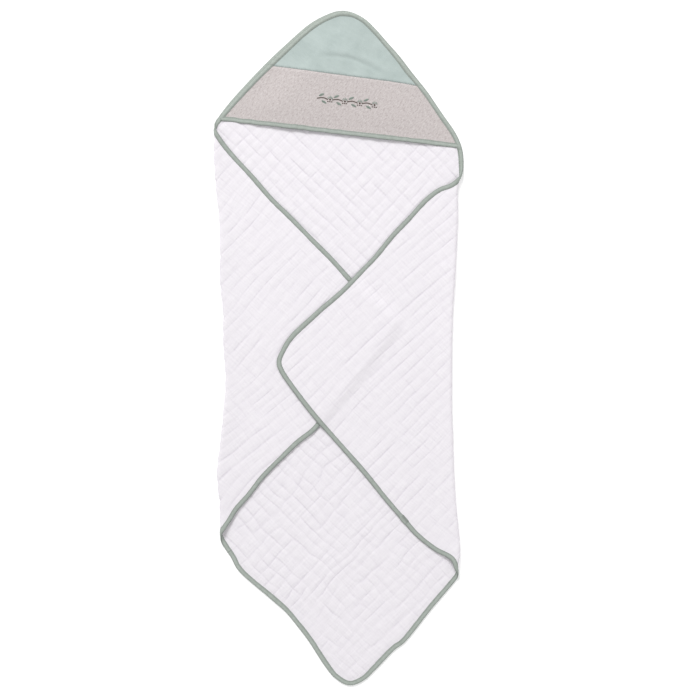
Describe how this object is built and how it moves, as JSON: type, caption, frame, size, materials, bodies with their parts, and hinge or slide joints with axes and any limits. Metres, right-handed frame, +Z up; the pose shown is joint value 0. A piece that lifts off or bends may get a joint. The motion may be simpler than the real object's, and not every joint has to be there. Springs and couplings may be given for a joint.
{
  "type": "hooded baby towel",
  "caption": "Square crinkled muslin baby towel with a bound edge and a two-tone hood across one corner, folded with both side corners laid over the middle.",
  "frame": {"origin": "middle of the folded towel's own box, on its underside", "axes": "+X to the right as seen from above with the hood up the page, +Y towards the hood's tip, +Z up off the surface it lies on"},
  "size_m": [0.379, 1.0878, 0.0164],
  "materials": {
    "muslin": "crinkled off-white double gauze",
    "binding": "folded woven tape, grey sage",
    "sage_jersey": "soft sage jersey",
    "oatmeal_melange": "oatmeal melange jersey",
    "hood_lining": "plain woven cotton",
    "backing": "non-woven stabiliser",
    "dark_thread": "satin embroidery thread",
    "sage_thread": "satin embroidery thread"
  },
  "bodies": {
    "towel": {"towel_middle": "muslin", "binding_hood_edge": "binding", "binding_lower_corner": "binding"},
    "left_corner": {"towel_left_corner": "muslin", "binding_left_corner": "binding"},
    "right_corner": {"towel_right_corner": "muslin", "binding_right_corner": "binding", "binding_lap_join": "binding"},
    "hood_front": {"hood_upper_panel": "sage_jersey", "hood_band": "oatmeal_melange", "hood_lining": "hood_lining", "hood_mouth_binding": "binding", "embroidery_backing": "backing", "embroidered_stem_1": "dark_thread", "embroidered_leaf_1_up": "sage_thread", "embroidered_leaf_1_down": "sage_thread", "embroidered_knot_1": "dark_thread", "embroidered_stem_2": "dark_thread", "embroidered_leaf_2_up": "sage_thread", "embroidered_leaf_2_down": "sage_thread", "embroidered_knot_2": "dark_thread", "embroidered_stem_3": "dark_thread", "embroidered_leaf_3_up": "sage_thread", "embroidered_leaf_3_down": "sage_thread", "embroidered_knot_3": "dark_thread", "embroidered_stem_4": "dark_thread", "embroidered_leaf_4_up": "sage_thread", "embroidered_leaf_4_down": "sage_thread", "embroidered_knot_4": "dark_thread"}
  },
  "joints": [
    {"name": "right_corner_fold", "type": "hinge", "parent": "towel", "child": "right_corner", "pos_m": [0.1895, 0, 0.00535], "axis": [0, 1, 0], "range_deg": [0, 180]},
    {"name": "left_corner_fold", "type": "hinge", "parent": "towel", "child": "left_corner", "pos_m": [-0.1895, 0, 0.00315], "axis": [0, -1, 0], "range_deg": [0, 54]},
    {"name": "hood_mouth_lift", "type": "hinge", "parent": "towel", "child": "hood_front", "pos_m": [0, 0.5356, 0.0064], "axis": [-1, 0, 0], "range_deg": [0, 28]}
  ],
  "couplings": [
    {"joint": "left_corner_fold", "follows": "right_corner_fold", "ratio": 0.3}
  ]
}
